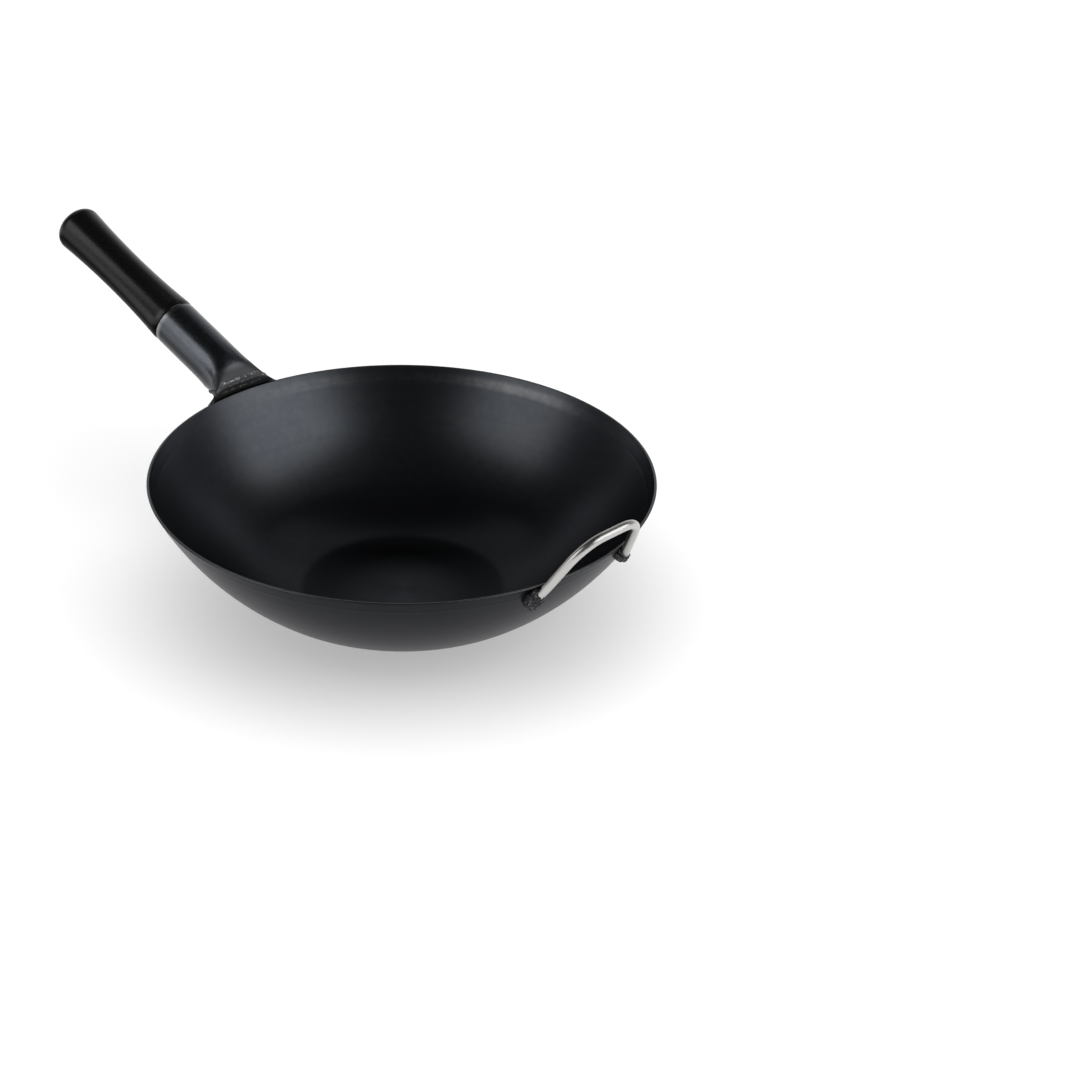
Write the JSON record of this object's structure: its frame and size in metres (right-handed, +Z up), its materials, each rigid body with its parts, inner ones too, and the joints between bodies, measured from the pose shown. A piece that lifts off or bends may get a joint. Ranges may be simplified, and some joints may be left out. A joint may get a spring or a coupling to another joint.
{
  "type": "carbon steel wok",
  "caption": "Flat-bottomed carbon steel wok with a black wooden grip in a steel socket and a wire helper loop, for stir-frying on a hob.",
  "frame": {"origin": "centre of the flat base's underside, where the wok rests", "axes": "+Z up, +X from the bowl's centre along the handle, +Y across; the helper loop is on -X"},
  "size_m": [0.5562, 0.34, 0.1745],
  "materials": {
    "blued_bowl_steel": "spun carbon steel, blued dark grey, satin",
    "blued_socket_steel": "rolled steel, blued, semi-gloss",
    "weld_steel": "rough weld metal with oxide",
    "black_wood": "turned wood, stained and lacquered black, satin",
    "black_screw_steel": "black oxide steel",
    "stainless_wire": "stainless wire, satin bright"
  },
  "bodies": {
    "root": {"wok_bowl": "blued_bowl_steel", "handle_socket": "blued_socket_steel", "rim_bracket": "blued_socket_steel", "seam_weld": "weld_steel", "wall_weld": "weld_steel", "wooden_grip": "black_wood", "front_screw": "black_screw_steel", "rear_screw": "black_screw_steel", "helper_loop": "stainless_wire", "helper_weld_left": "weld_steel", "helper_weld_right": "weld_steel"}
  },
  "joints": []
}
